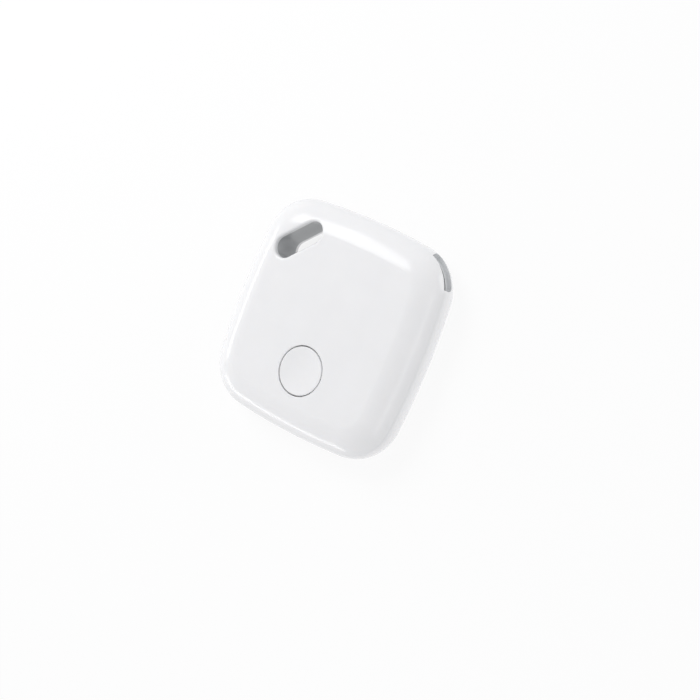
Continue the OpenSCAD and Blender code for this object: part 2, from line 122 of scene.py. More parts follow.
def new_material(name):
    """An empty material, its tree, and the place on the object in the object's own axes."""
    material = bpy.data.materials.new(name)
    material.use_nodes = True
    tree = material.node_tree
    tree.nodes.clear()
    return material, tree, add(tree, "ShaderNodeTexCoord").outputs["Object"]


def noise(tree, place, scale, detail=2.0):
    return add(tree, "ShaderNodeTexNoise", {"Vector": place, "Scale": scale, "Detail": detail}).outputs["Fac"]


def two_tones(tree, factor, first, last, low=0.0, high=1.0):
    """Goes from the first colour to the last as the factor goes from low to high."""
    ramp = add(tree, "ShaderNodeValToRGB", {"Fac": factor})
    ends = ramp.color_ramp.elements
    ends[0].position, ends[0].color = low, linear(first)
    ends[1].position, ends[1].color = high, linear(last)
    return ramp.outputs["Color"]


def between(tree, factor, low, high):
    """Goes from low to high as the factor goes from 0 to 1."""
    return add(tree, "ShaderNodeMapRange", {"Value": factor, "To Min": low, "To Max": high}).outputs["Result"]


def maths(tree, a, b, operation):
    return add(tree, "ShaderNodeMath", {0: a, 1: b}, operation=operation).outputs["Value"]


def mixed(tree, factor, a, b):
    """The colour a where the factor is 0 and b where it is 1."""
    mix = add(tree, "ShaderNodeMix", {"Factor": factor, "A": a, "B": b}, data_type="RGBA")
    return mix.outputs["Result"]


def relief(tree, height, strength, depth_mm, **settings):
    """Bumps that follow the height, up to depth_mm deep."""
    bump = add(tree, "ShaderNodeBump", {
        "Strength": strength, "Distance": depth_mm * MM, "Height": height}, **settings)
    return bump.outputs["Normal"]


def surface(material, tree, colour, roughness, normal, more):
    """Ends a material in a surface with these values, and more holds any others by name."""
    body = add(tree, "ShaderNodeBsdfPrincipled", {
        "Base Color": colour, "Roughness": roughness, "Normal": normal, **more})
    add(tree, "ShaderNodeOutputMaterial", {"Surface": body.outputs[0]})
    return material


def white_glass_table():
    """Opal glass lit from behind: white, matte, with the faintest unevenness of its lamps."""
    material, tree, place = new_material("opal glass light table")
    shade = between(tree, noise(tree, place, 3.0, 1.0), 1.0, 1.03)
    body = add(tree, "ShaderNodeBsdfDiffuse", {"Color": linear("#f4f4f4")})
    glow = add(tree, "ShaderNodeEmission", {"Color": (1, 1, 1, 1), "Strength": shade})
    mix = add(tree, "ShaderNodeMixShader", {"Fac": 0.8, 1: body.outputs[0], 2: glow.outputs[0]})
    add(tree, "ShaderNodeOutputMaterial", {"Surface": mix.outputs[0]})
    return material


bpy.ops.mesh.primitive_grid_add(x_subdivisions=2, y_subdivisions=2, size=3.0, location=(0, 0, cad_low.z))
table = bpy.context.active_object
table.name = "light_table"
table.data.materials.append(white_glass_table())
table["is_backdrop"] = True


def soft_box(name, bearing, elevation, distance, size, brightness):
    """A rectangular lamp that points at the tag, and is as bright as so many sheets of lit white paper."""
    bearing, elevation = math.radians(bearing), math.radians(elevation)
    data = bpy.data.lights.new(name, "AREA")
    data.shape = "RECTANGLE"
    data.size, data.size_y = size
    data.energy = brightness * math.pi * size[0] * size[1]
    lamp = bpy.data.objects.new(name, data)
    lamp.visible_camera = False
    bpy.context.scene.collection.objects.link(lamp)
    out = Vector((math.cos(bearing) * math.cos(elevation), math.sin(bearing) * math.cos(elevation),
                  math.sin(elevation)))
    place = middle + out * distance
    lamp.matrix_world = Matrix.Translation(place) @ out.to_track_quat("Z", "Y").to_matrix().to_4x4()
    return lamp


soft_box("key_box", 140, 44, 0.3, (0.16, 0.16), 3.0)
soft_box("low_box", 42, 14, 0.6, (0.3, 0.1), 3.2)
soft_box("left_strip", -174, 14, 0.6, (0.24, 0.07), 3.8)
soft_box("near_strip", -125, 1.5, 0.6, (0.5, 0.05), 5.0)
soft_box("right_strip", -7, 41, 0.6, (0.6, 0.025), 4.8)

world = bpy.data.worlds.new("studio")
world.use_nodes = True
world_tree = world.node_tree
world_tree.nodes.clear()
way = add(world_tree, "ShaderNodeTexCoord")
slope = add(world_tree, "ShaderNodeVectorMath", {0: way.outputs["Generated"], 1: (0.90, 0.42, 0.0)},
            operation="DOT_PRODUCT")
shade = add(world_tree, "ShaderNodeMapRange", {
    "Value": slope.outputs["Value"], "From Min": -0.1, "From Max": 1.0, "To Min": 0.80, "To Max": 0.50})
walls = add(world_tree, "ShaderNodeBackground", {
    "Color": (0.99, 0.99, 1.0, 1), "Strength": shade.outputs["Result"]})
add(world_tree, "ShaderNodeOutputWorld", {"Surface": walls.outputs[0]})
bpy.context.scene.world = world
bpy.context.scene.view_settings.view_transform = "Standard"


# ---------------------------------------------------------------------------------------------------------
# Front shell: the shallow white half that carries the keyring slot and the button hole. It is
# injection-moulded ABS with a mirror-polished mould, 1 to 1.2 mm thick, and snaps into the back cover.

side = (cad_high.x - cad_low.x) / MM
height = (cad_high.z - cad_low.z) / MM
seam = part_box("back_cover")[1].z / MM
belt = 4.0
corner_r = 8.6
side_r = 130.0
front_round, front_full = 5.3, 1.56
side_wall, front_wall, back_wall = 1.2, 1.0, 1.1
inner_gain = 0.2
seam_edge = 0.06
side_steps, corner_steps = 12, 28

bow = side_r - side / 2
corner_c = (math.sqrt(2 * (side_r - corner_r) ** 2 - bow ** 2) - bow) / 2
side_a = math.atan2(corner_c, corner_c + bow)
ceiling = height - front_wall


def outline(d):
    """Points of the tag's outline, inset by d: four wide arcs joined by four small ones."""
    quarter = []
    for i in range(side_steps):
        a = side_a * (2 * i / side_steps - 1)
        quarter.append(((side_r - d) * math.cos(a) - bow, (side_r - d) * math.sin(a)))
    for i in range(corner_steps):
        a = side_a + (math.pi / 2 - 2 * side_a) * i / corner_steps
        quarter.append((corner_c + (corner_r - d) * math.cos(a), corner_c + (corner_r - d) * math.sin(a)))
    turns = ((1, 0), (0, 1), (-1, 0), (0, -1))
    return [(x * c - y * s, x * s + y * c) for c, s in turns for x, y in quarter]


def inset_at(x, y):
    """How far a point lies in from the outline."""
    x, y = max(abs(x), abs(y)), min(abs(x), abs(y))
    if math.atan2(y, x + bow) <= side_a:
        return side_r - math.hypot(x + bow, y)
    return corner_r - math.hypot(x - corner_c, y - corner_c)


def dome(d, reach, full, rise):
    """Height above the belt of a rounding, at inset d."""
    t = min(max(1 - d / reach, 0), 1)
    return rise * (1 - t ** full) ** (1 / full)


def dome_insets(reach, full, n, first=0.0):
    """Insets of a rounding's rings, closest where it bends most, from the inset first inwards."""
    start = math.acos(max(0.0, 1 - first / reach) ** (full / 2))
    runs = (start + (math.pi / 2 - start) * i / n for i in range(n + 1))
    return [reach * (1 - max(0.0, math.cos(q)) ** (2 / full)) for q in runs]


slot_low, slot_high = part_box("slot_liner")
slot_x = (slot_low.x + slot_high.x) / 2 / MM
slot_y = (slot_low.y + slot_high.y) / 2 / MM
slot_l, slot_w, slot_lip = 10.0, 4.0, 0.5
liner_wall, liner_gap = 0.8, 0.06


def slot_distance(x, y):
    """Distance outside the slot's wall; negative within the slot."""
    along = ((x - slot_x) + (y - slot_y)) / math.sqrt(2)
    across = ((y - slot_y) - (x - slot_x)) / math.sqrt(2)
    over = max(0.0, abs(along) - (slot_l - slot_w) / 2)
    return math.hypot(over, across) - slot_w / 2


def slot_ring(grow, n=18):
    """Points round the slot, a distance grow outside its wall."""
    r, half = slot_w / 2 + grow, (slot_l - slot_w) / 2
    ring = []
    for sign in (1, -1):
        ring += [(sign * (half + r * math.cos(a)), sign * r * math.sin(a))
                 for a in (math.pi * (i / n - 0.5) for i in range(n + 1))]
        ring += [(sign * half * (1 - 2 * i / 8), sign * r) for i in range(1, 8)]
    k = math.sqrt(0.5)
    return [(slot_x + (u - v) * k, slot_y + (u + v) * k) for u, v in ring]


cap_low, cap_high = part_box("button_cap")
button_x = (cap_low.x + cap_high.x) / 2 / MM
button_y = (cap_low.y + cap_high.y) / 2 / MM
button_r = 4.5
button_lip = 0.1


def circle(x, y, r, n=96):
    return [(x + r * math.cos(2 * math.pi * i / n), y + r * math.sin(2 * math.pi * i / n)) for i in range(n)]


class Sheet:
    """Collects the points and faces of one piece, in millimetres, and makes the object from them."""

    def __init__(self):
        self.points, self.faces = [], []

    def ring(self, flat, z):
        """Adds a closed loop of points and returns their numbers. z is a height or a rule for it."""
        first = len(self.points)
        self.points += [(x, y, z(x, y) if callable(z) else z) for x, y in flat]
        return list(range(first, len(self.points)))

    def bridge(self, a, b):
        """Joins two loops of the same count with a band of quads."""
        n = len(a)
        self.faces += [(a[i], a[(i + 1) % n], b[(i + 1) % n], b[i]) for i in range(n)]

    def lid(self, loop, up):
        self.faces.append(tuple(loop) if up else tuple(reversed(loop)))

    def skin(self, loops, extra, rule, keep, up):
        """Triangulates the plane between loops already added, with extra points, and lifts them by rule."""
        flat, number, edges = [], [], []
        for loop in loops:
            first = len(flat)
            flat += [Vector(self.points[i][:2]) for i in loop]
            number += loop
            edges += [(first + i, first + (i + 1) % len(loop)) for i in range(len(loop))]
        number += self.ring(extra, rule)
        flat += [Vector(p) for p in extra]
        verts, _, tris, origin, _, _ = delaunay_2d_cdt(flat, edges, [], 0, 1e-6)
        for tri in tris:
            x = sum(verts[i].x for i in tri) / 3
            y = sum(verts[i].y for i in tri) / 3
            if keep(x, y):
                face = tuple(number[origin[i][0]] for i in tri)
                self.faces.append(face if up else face[::-1])

    def make(self, name, sharp=35):
        """The finished object: doubles merged, faces outwards, smooth but for its sharp edges."""
        mesh = bpy.data.meshes.new(name)
        mesh.from_pydata([Vector(p) * MM for p in self.points], [], self.faces)
        work = bmesh.new()
        work.from_mesh(mesh)
        bmesh.ops.remove_doubles(work, verts=work.verts, dist=1e-7)
        bmesh.ops.recalc_face_normals(work, faces=work.faces)
        work.to_mesh(mesh)
        work.free()
        mesh.shade_smooth()
        mesh.set_sharp_from_angle(angle=math.radians(sharp))
        made = bpy.data.objects.new(name, mesh)
        bpy.context.scene.collection.objects.link(made)
        return made


def lip_rings(lip, n=6):
    """Steps round a hole's rounded lip: how far outside the hole, and how far below the face."""
    turns = (math.pi / 2 * i / n for i in range(n + 1))
    return [(lip * (1 - math.cos(q)), lip * (1 - math.sin(q))) for q in turns]


def front_face(x, y):
    return belt + dome(inset_at(x, y), front_round, front_full, height - belt)


def front_inside(x, y):
    reach = front_round - side_wall + inner_gain
    return belt + dome(inset_at(x, y) - side_wall, reach, front_full, ceiling - belt)


def lipped_hole(sheet, ring_of, lip, face, top):
    """Rings of a hole's rounded lip. Returns the wall's loop and the loop where the lip meets the face."""
    loops = []
    for out, down in lip_rings(lip):
        loops.append(sheet.ring(ring_of(out), lambda x, y, d=down: face(x, y) - top * d))
    for a, b in zip(loops, loops[1:]):
        sheet.bridge(a, b)
    return loops[0], loops[-1]


def seam_inset(rise):
    t = ((seam - belt) / rise) ** front_full
    return 1 - (1 - t) ** (1 / front_full)


def tube_solid(sheet, x, y, r_in, r_out, z0, z1, n=72):
    """A plain ring standing between two heights."""
    loops = [sheet.ring(circle(x, y, r, n), z) for r, z in
             ((r_out, z0), (r_out, z1), (r_in, z1), (r_in, z0))]
    for a, b in zip(loops, loops[1:] + loops[:1]):
        sheet.bridge(a, b)


front = Sheet()
outer_start = front_round * seam_inset(height - belt)
inner_reach = front_round - side_wall + inner_gain
inner_start = inner_reach * seam_inset(ceiling - belt)
outer_insets = dome_insets(front_round, front_full, 26, outer_start)
inner_insets = dome_insets(inner_reach, front_full, 10, inner_start)

outer_rim = front.ring(outline(outer_insets[0]), seam + seam_edge)
seam_rim = front.ring(outline(outer_insets[0] + seam_edge), seam)
inner_rim = front.ring(outline(side_wall + inner_insets[0]), seam)
front.bridge(outer_rim, seam_rim)
front.bridge(seam_rim, inner_rim)
slot_wall, slot_edge = lipped_hole(front, slot_ring, slot_lip, front_face, 1)
button_wall, button_edge = lipped_hole(
    front, lambda out: circle(button_x, button_y, button_r + out), button_lip, front_face, 1)


def clear_of_holes(p, gap):
    return (slot_distance(*p) > slot_lip + gap
            and math.hypot(p[0] - button_x, p[1] - button_y) > button_r + button_lip + gap)


spread = [p for d in outer_insets[1:] for p in outline(d) if clear_of_holes(p, 0.35)]
spread += [p for grow in (0.25, 0.55) for p in slot_ring(slot_lip + grow)
           if inset_at(*p) > outer_start + 0.3]
spread += circle(button_x, button_y, button_r + button_lip + 0.3)
spread += [(i * 1.5, j * 1.5) for i in range(-9, 10) for j in range(-9, 10)
           if inset_at(i * 1.5, j * 1.5) > front_round + 0.7 and clear_of_holes((i * 1.5, j * 1.5), 0.8)]
front.skin(
    [outer_rim, slot_edge, button_edge], spread, front_face,
    lambda x, y: clear_of_holes((x, y), 0.0) and inset_at(x, y) > outer_start - 0.01, True)

slot_foot = front.ring(slot_ring(0), ceiling)
front.bridge(slot_foot, slot_wall)
pocket_top = front.ring(slot_ring(liner_wall + liner_gap), ceiling)
front.bridge(pocket_top, slot_foot)
pocket_foot = front.ring(slot_ring(liner_wall + liner_gap), front_inside)
front.bridge(pocket_foot, pocket_top)
button_foot = front.ring(circle(button_x, button_y, button_r), ceiling)
front.bridge(button_foot, button_wall)


def clear_inside(x, y):
    return (slot_distance(x, y) > liner_wall + liner_gap
            and math.hypot(x - button_x, y - button_y) > button_r)


inside = [p for d in inner_insets[1:] for p in outline(side_wall + d)
          if slot_distance(*p) > liner_wall + liner_gap + 0.2]
front.skin([inner_rim, pocket_foot, button_foot], inside, front_inside, clear_inside, False)

# Lip and snap tabs below the seam, and the ribs that the moulder puts under the face
seam_skin, lip_gap, lip_in = 0.7, 0.12, side_wall + 0.4
lip_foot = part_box("seal_ring")[1].z / MM + 0.03
band = [front.ring(outline(d), z) for d, z in (
    (seam_skin + lip_gap, seam + 0.3), (seam_skin + lip_gap, lip_foot + 0.1),
    (seam_skin + lip_gap + 0.1, lip_foot), (lip_in - 0.1, lip_foot),
    (lip_in, lip_foot + 0.1), (lip_in, seam + 0.5))]
for a, b in zip(band, band[1:] + band[:1]):
    front.bridge(a, b)

tab_w, tab_t, tab_in, tab_drop = 6.0, 0.6, side_wall + 0.35, 1.9
for turn in range(4):
    c, s = ((1, 0), (0, 1), (-1, 0), (0, -1))[turn]
    x1 = side / 2 - tab_in
    x0 = x1 - tab_t
    loops = []
    for z, thin in ((seam + 0.5, 0), (seam - tab_drop + 0.3, 0), (seam - tab_drop, 0.15)):
        corners = ((x0, -tab_w / 2 + thin), (x1 - thin, -tab_w / 2 + thin),
                   (x1 - thin, tab_w / 2 - thin), (x0, tab_w / 2 - thin))
        loops.append(front.ring([(x * c - y * s, x * s + y * c) for x, y in corners], z))
    front.lid(loops[0], True)
    front.bridge(loops[0], loops[1])
    front.bridge(loops[1], loops[2])
    front.lid(loops[2], False)

flange_r = (cap_high.x - cap_low.x) / 2 / MM
tube_solid(front, button_x, button_y, flange_r + 0.3, flange_r + 1.0, ceiling - 0.75, ceiling + 0.1)
plate_low, plate_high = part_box("buzzer_plate")
buzzer_x = (plate_low.x + plate_high.x) / 2 / MM
buzzer_y = (plate_low.y + plate_high.y) / 2 / MM
buzzer_r = (plate_high.x - plate_low.x) / 2 / MM
tube_solid(front, buzzer_x, buzzer_y, buzzer_r + 0.15, buzzer_r + 0.75, ceiling - 0.5, ceiling + 0.1)
board_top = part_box("main_board")[1].z / MM
screw_head_r = 1.1
screw_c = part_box("board_screws")[1].x / MM - screw_head_r
for x, y in ((1, 1), (1, -1), (-1, -1)):
    tube_solid(front, x * screw_c, y * screw_c, 0.53, 1.7, board_top, ceiling + 0.1, 40)


def glossy_abs():
    """Glossy moulded ABS, cool white. The polished mould leaves a sharp sheen over the faintest ripple
    of shrinkage, a few millimetres across, and the resin's white pigment is a little uneven."""
    material, tree, place = new_material("glossy moulded ABS, white")
    pigment = noise(tree, place, 180.0)
    ripple = noise(tree, place, 220.0, 1.0)
    return surface(
        material, tree, two_tones(tree, pigment, "#efeff0", "#f4f4f5"), between(tree, ripple, 0.16, 0.21),
        relief(tree, ripple, 0.05, 0.02), {
            "IOR": 1.52, "Subsurface Weight": 0.12, "Subsurface Radius": (0.0012, 0.0011, 0.001),
            "Subsurface Scale": 1.0})


white_abs = glossy_abs()
front_piece = front.make("front_shell_moulding")
front_piece.data.materials.append(white_abs)
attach(front_piece, "front")
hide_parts("front_shell")


# ---------------------------------------------------------------------------------------------------------
# Back cover: the deeper white half, moulded in the same ABS. It holds the cell in a low ring, the slot's
# liner in a collar and the seal in a rabbet, and a curved notch in one corner takes a nail or a coin.

back_round, back_full = 4.0, 2.4


def back_face(x, y):
    return belt - dome(inset_at(x, y), back_round, back_full, belt)


def back_inside(x, y):
    reach = back_round - side_wall + inner_gain
    return belt - dome(inset_at(x, y) - side_wall, reach, back_full, belt - back_wall)


def notch_shade_grey_abs():
    """The same ABS on the notch's cut faces, satin, with a grain about 0.15 mm across. Its light grey is
    painted shade: it stands for the shade inside the notch's recess."""
    material, tree, place = new_material("moulded ABS, grey painted as the notch's shade")
    grain = noise(tree, place, 6500.0)
    return surface(material, tree, two_tones(tree, grain, "#ced0d2", "#dcdedf"), 0.4,
                   relief(tree, grain, 0.3, 0.01), {"IOR": 1.52})


back = Sheet()


def front_height(d):
    return belt + dome(d, front_round, front_full, height - belt)


rings = []
for q in range(5):
    d = outer_start * (q / 4) ** 1.5
    rings.append(back.ring(outline(d), seam - seam_edge if q == 4 else front_height(d)))
rings.append(back.ring(outline(outer_start + seam_edge), seam))
belt_rim, top_rim = rings[0], rings[-1]
for a, b in zip(rings, rings[1:]):
    back.bridge(a, b)
back_insets = dome_insets(back_round, back_full, 22)
slot_wall, slot_edge = lipped_hole(back, slot_ring, slot_lip, back_face, -1)
spread = [p for d in back_insets[1:] for p in outline(d) if slot_distance(*p) > slot_lip + 0.35]
spread += [p for grow in (0.25, 0.55) for p in slot_ring(slot_lip + grow) if inset_at(*p) > 0.3]
grid = [(i * 2.0, j * 2.0) for i in range(-8, 9) for j in range(-8, 9)]
spread += [p for p in grid if inset_at(*p) > back_round + 0.8 and slot_distance(*p) > slot_lip + 1]
back.skin([belt_rim, slot_edge], spread, back_face,
          lambda x, y: slot_distance(x, y) > slot_lip, False)

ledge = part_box("seal_ring")[0].z / MM
skin_top = back.ring(outline(seam_skin), seam)
skin_foot = back.ring(outline(seam_skin), ledge)
back.bridge(top_rim, skin_top)
back.bridge(skin_top, skin_foot)
ledge_in = back.ring(outline(side_wall), ledge)
back.bridge(skin_foot, ledge_in)
reach = back_round - side_wall + inner_gain
inner_insets = dome_insets(reach, back_full, 12)
slot_foot = back.ring(slot_ring(0), back_wall)
back.bridge(slot_wall, slot_foot)
pocket_floor = back.ring(slot_ring(liner_wall + liner_gap), back_wall)
back.bridge(slot_foot, pocket_floor)
collar_h, collar_wall = 1.4, 0.7
collar_out = liner_wall + liner_gap + collar_wall


def collar_top(x, y):
    return max(back_wall + collar_h, back_inside(x, y))


pocket_rim = back.ring(slot_ring(liner_wall + liner_gap), collar_top)
back.bridge(pocket_floor, pocket_rim)
collar_rim = back.ring(slot_ring(collar_out), collar_top)
back.bridge(pocket_rim, collar_rim)
collar_foot = back.ring(slot_ring(collar_out), back_inside)
back.bridge(collar_rim, collar_foot)
inside = [p for d in inner_insets[1:] for p in outline(side_wall + d)
          if slot_distance(*p) > liner_wall + liner_gap + 0.9]
back.skin([ledge_in, collar_foot], inside, back_inside,
          lambda x, y: slot_distance(x, y) > collar_out, True)

cell_low, cell_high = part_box("cell_can")
cell_r = (cell_high.x - cell_low.x) / 2 / MM
cell_play, ring_wall, ring_rise = 0.25, 0.8, 2.08
ring_r = cell_r + cell_play
ring_top = cell_low.z / MM + ring_rise
window = math.radians(9.0)
holder = Sheet()
for start, end in ((-20, 290), (-70, -20)):
    a0, a1 = math.radians(start) + window, math.radians(end) - window
    n = max(8, int((a1 - a0) / 0.06))
    arcs = []
    for r, z in ((ring_r, back_wall - 0.1), (ring_r, ring_top - 0.1), (ring_r + 0.1, ring_top),
                 (ring_r + ring_wall - 0.1, ring_top), (ring_r + ring_wall, ring_top - 0.1),
                 (ring_r + ring_wall, back_wall - 0.1)):
        turns = [a0 + (a1 - a0) * i / n for i in range(n + 1)]
        arcs.append(holder.ring([(r * math.cos(a), r * math.sin(a)) for a in turns], z))
    for a, b in zip(arcs, arcs[1:] + arcs[:1]):
        holder.faces += [(a[i], a[i + 1], b[i + 1], b[i]) for i in range(n)]
    holder.faces.append(tuple(a[0] for a in arcs))
    holder.faces.append(tuple(a[-1] for a in reversed(arcs)))

holder_piece = holder.make("cell_holder")
back_piece = back.make("back_cover_moulding")

# The pry notch is cut under the seam with a curved bar whose ends are rounded, more so below
notch_h, notch_l, notch_d = 1.85, 7.5, 0.75
notch = Sheet()
steps = 42
loops = []
for i in range(steps + 1):
    u = -notch_l / 2 + notch_l * i / steps
    a = math.pi / 4 + u / corner_r
    over = max(0.0, abs(u) - (notch_l - notch_h) / 2)
    half_h = math.sqrt(max(1e-4, (notch_h / 2) ** 2 - over ** 2))
    head_h = notch_h / 2 * (max(1e-4, 1 - (over / (notch_h / 2)) ** 4)) ** 0.25
    foot, head = seam - notch_h / 2 - half_h, seam - notch_h / 2 + head_h + 0.04
    loop = []
    floor_r, clear_r = corner_r - notch_d, corner_r + 1
    for r, z in ((floor_r, foot), (clear_r, foot), (clear_r, head), (floor_r, head)):
        loop.append(len(notch.points))
        notch.points.append((corner_c + r * math.cos(a), corner_c + r * math.sin(a), z))
    loops.append(loop)
for a, b in zip(loops, loops[1:]):
    notch.bridge(a, b)
notch.lid(loops[0], False)
notch.lid(loops[-1], True)
cutter = notch.make("notch_cutter")
# The cutter's light grey passes to the notch's cut faces: painted shade for the recess
cutter.data.materials.append(notch_shade_grey_abs())
back_piece.data.materials.append(white_abs)
cut = back_piece.modifiers.new("notch", "BOOLEAN")
cut.operation, cut.solver, cut.object = "DIFFERENCE", "EXACT", cutter
cut.material_mode = "TRANSFER"
bpy.context.view_layer.update()
carved = bpy.data.meshes.new_from_object(back_piece.evaluated_get(bpy.context.evaluated_depsgraph_get()))
back_piece.modifiers.remove(cut)
back_piece.data = carved
bpy.data.objects.remove(cutter)
work = bmesh.new()
work.from_mesh(carved)
work.from_mesh(holder_piece.data)
bmesh.ops.remove_doubles(work, verts=work.verts, dist=1e-7)
bmesh.ops.triangulate(work, faces=work.faces)
groups = {}
for face in work.faces:
    groups.setdefault(frozenset(face.verts), []).append(face)
slivers = [face for group in groups.values() if len(group) > 1 for face in group]
bmesh.ops.delete(work, geom=slivers, context="FACES")
work.to_mesh(carved)
work.free()
bpy.data.objects.remove(holder_piece)
back_piece.data.set_sharp_from_angle(angle=math.radians(35))
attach(back_piece, "back")
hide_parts("back_cover")


# ---------------------------------------------------------------------------------------------------------
# Slot liner: a grey nylon ferrule between the two shells that takes the wear of a steel key ring.
# It is moulded satin, and only its inside shows.

def satin_nylon():
    """Grey glass-filled nylon, moulded satin: soft highlights and a fine grain about 0.17 mm across."""
    material, tree, place = new_material("satin moulded nylon, grey")
    grain = noise(tree, place, 6000.0)
    return surface(material, tree, two_tones(tree, grain, "#a8aaac", "#b2b4b6"), 0.18,
                   relief(tree, grain, 0.2, 0.01), {"IOR": 1.53})


liner = Sheet()
z0, z1 = slot_low.z / MM, slot_high.z / MM
loops = [liner.ring(slot_ring(g), z) for g, z in (
    (0, z0), (0, z0 + 1), (0, z1 - 1), (0, z1), (liner_wall, z1), (liner_wall, z0))]
for a, b in zip(loops, loops[1:] + loops[:1]):
    liner.bridge(a, b)
liner_piece = liner.make("slot_liner_moulding")
liner_piece.data.materials.append(satin_nylon())
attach(liner_piece, "back")
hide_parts("slot_liner")


# ---------------------------------------------------------------------------------------------------------
# Button cap: a round cap in the same ABS, with a dished face for a fingertip. A flange under the shell
# keeps it in, and it stands on the switch through a silicone pad.

cap = Sheet()
cap_top = cap_high.z / MM
cap_foot = cap_low.z / MM
flange_w, cap_play, cap_wall = 0.85, 0.07, 0.85
cap_r = flange_r - flange_w - cap_play
dish, edge, hub_r, post_r, flange_edge = 0.4, 0.14, 0.6, 1.8, 0.08
profile = []
for i in range(15):
    r = hub_r + (cap_r - edge - hub_r) * i / 14
    profile.append((r, cap_top - dish * (1 - (r / (cap_r - edge)) ** 2)))
for i in range(1, 9):
    q = math.pi / 2 * i / 8
    profile.append((cap_r - edge + edge * math.sin(q), cap_top - edge * (1 - math.cos(q))))
flange_top, hollow_top = ceiling - 0.06, ceiling - 0.08
profile += [
    (cap_r, flange_top), (flange_r - flange_edge, flange_top), (flange_r, flange_top - flange_edge),
    (flange_r, cap_foot + flange_edge), (flange_r - flange_edge, cap_foot), (cap_r - cap_wall, cap_foot),
    (cap_r - cap_wall, hollow_top), (post_r, hollow_top), (post_r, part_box("button_pad")[1].z / MM)]
loops = [cap.ring(circle(button_x, button_y, r, 128), z) for r, z in profile]
cap.lid(loops[0], True)
for a, b in zip(loops, loops[1:]):
    cap.bridge(b, a)
cap.lid(loops[-1], False)
cap_piece = cap.make("button_cap_moulding", sharp=50)
cap_piece.data.materials.append(white_abs)
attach(cap_piece, "button")
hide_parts("button_cap")


# ---------------------------------------------------------------------------------------------------------
# Seal ring and foam pad: the seal is a moulded silicone cord that the front shell's lip presses on its
# ledge, and the pad under the cell is die-cut urethane foam, stuck to the back cover.

def dress(node, material):
    """Gives a carried-over part its finish."""
    for holder in nodes[node].material_slots:
        holder.material = material


def moulded(name, dark, light, grain_mm, roughness, ior=1.5, relief_mm=0.01, soft=0.0):
    """A moulded or cast finish: a fine grain of the given size that shifts its colour and its surface."""
    material, tree, place = new_material(name)
    grain = noise(tree, place, 1 / (grain_mm * MM))
    return surface(
        material, tree, two_tones(tree, grain, dark, light, 0.3, 0.7),
        between(tree, grain, roughness - 0.05, roughness + 0.05), relief(tree, grain, 0.5, relief_mm), {
            "IOR": ior, "Subsurface Weight": soft, "Subsurface Radius": (0.0008, 0.0007, 0.0006),
            "Subsurface Scale": 1.0})


# Dark grey silicone rubber from a blasted mould: dull, with the mould's fine grain
dress("seal_ring", moulded("moulded silicone rubber, dark grey", "#2e3032", "#3b3d40", 0.15, 0.5, 1.41, 0.01))


def urethane_foam():
    """Black open-cell urethane foam, skived 0.2 mm thick: cells about 0.3 mm across, quite without shine."""
    material, tree, place = new_material("skived urethane foam, black")
    cells = add(tree, "ShaderNodeTexVoronoi", {"Vector": place, "Scale": 1 / (0.3 * MM)}).outputs["Distance"]
    return surface(material, tree, two_tones(tree, cells, "#151617", "#3a3c3e"), 0.95,
                   relief(tree, cells, 0.8, 0.1), {"IOR": 1.4})


dress("cell_pad", urethane_foam())
dress("buzzer_tape", moulded("acrylic foam tape, black", "#1b1c1d", "#303234", 0.2, 0.8, 1.45, 0.02))


# ---------------------------------------------------------------------------------------------------------
# Coin cell: a deep-drawn can of nickel-plated stainless steel, crimped over a nylon gasket that holds
# the lid. The can has the fine rings of its drawing and trimming, and the lid has a rolled stipple.

# A wave texture repeats after about 0.314 of its own unit, so this over a pitch is the scale for that pitch
wave_scale = 0.314


def level_from(tree, place, cx, cy):
    """The place on the object, flattened and measured from the point (cx, cy), in millimetres."""
    centred = add(tree, "ShaderNodeMapping", {"Vector": place, "Location": (-cx * MM, -cy * MM, 0.0)})
    flat = add(tree, "ShaderNodeVectorMath", {0: centred.outputs["Vector"], 1: (1.0, 1.0, 0.0)},
               operation="MULTIPLY")
    return flat.outputs["Vector"]


def ringed_nickel(name, cx, cy, pitch_mm, dark, light, roughness):
    """Nickel-plated steel with fine rings round the middle (cx, cy), in millimetres, and a few scuffs."""
    material, tree, place = new_material(name)
    rings = add(tree, "ShaderNodeTexWave", {
        "Vector": level_from(tree, place, cx, cy), "Scale": wave_scale / (pitch_mm * MM),
        "Distortion": 0.4, "Detail": 1.0}, wave_type="RINGS", rings_direction="Z")
    scuffs = add(tree, "ShaderNodeTexNoise", {
        "Vector": place, "Scale": 900.0, "Detail": 4.0, "Roughness": 0.7}).outputs["Fac"]
    return surface(
        material, tree, two_tones(tree, scuffs, dark, light, 0.35, 0.6),
        between(tree, scuffs, roughness + 0.1, roughness - 0.05),
        relief(tree, rings.outputs["Fac"], 0.35, 0.01), {"Metallic": 1.0})


def stippled_nickel():
    """Nickel-plated steel rolled with a stipple 0.45 mm apart, which keeps the lid's contact clean."""
    material, tree, place = new_material("stippled nickel-plated steel")
    dots = add(tree, "ShaderNodeTexVoronoi", {
        "Vector": place, "Scale": 1 / (0.45 * MM), "Randomness": 0.25}).outputs["Distance"]
    return surface(material, tree, two_tones(tree, dots, "#c9cacb", "#b4b6b8"), 0.24,
                   relief(tree, dots, 0.6, 0.04, invert=True), {"Metallic": 1.0})


cell_x, cell_y = (cell_low.x + cell_high.x) / 2 / MM, (cell_low.y + cell_high.y) / 2 / MM
dress("cell_can", ringed_nickel("drawn nickel-plated steel", cell_x, cell_y, 0.3, "#b9babb", "#c8c9ca", 0.25))
dress("cell_cap", stippled_nickel())
# Pressed black powder, matte and granular
dress("cell_core", moulded("pressed manganese powder, black", "#141414", "#2a2a2b", 0.12, 0.9, 1.6, 0.03))
# Natural nylon, milky and a little see-through
dress("cell_gasket", moulded("moulded nylon, natural", "#d9d5c6", "#e6e3d6", 0.4, 0.4, 1.53, 0.005, 0.25))


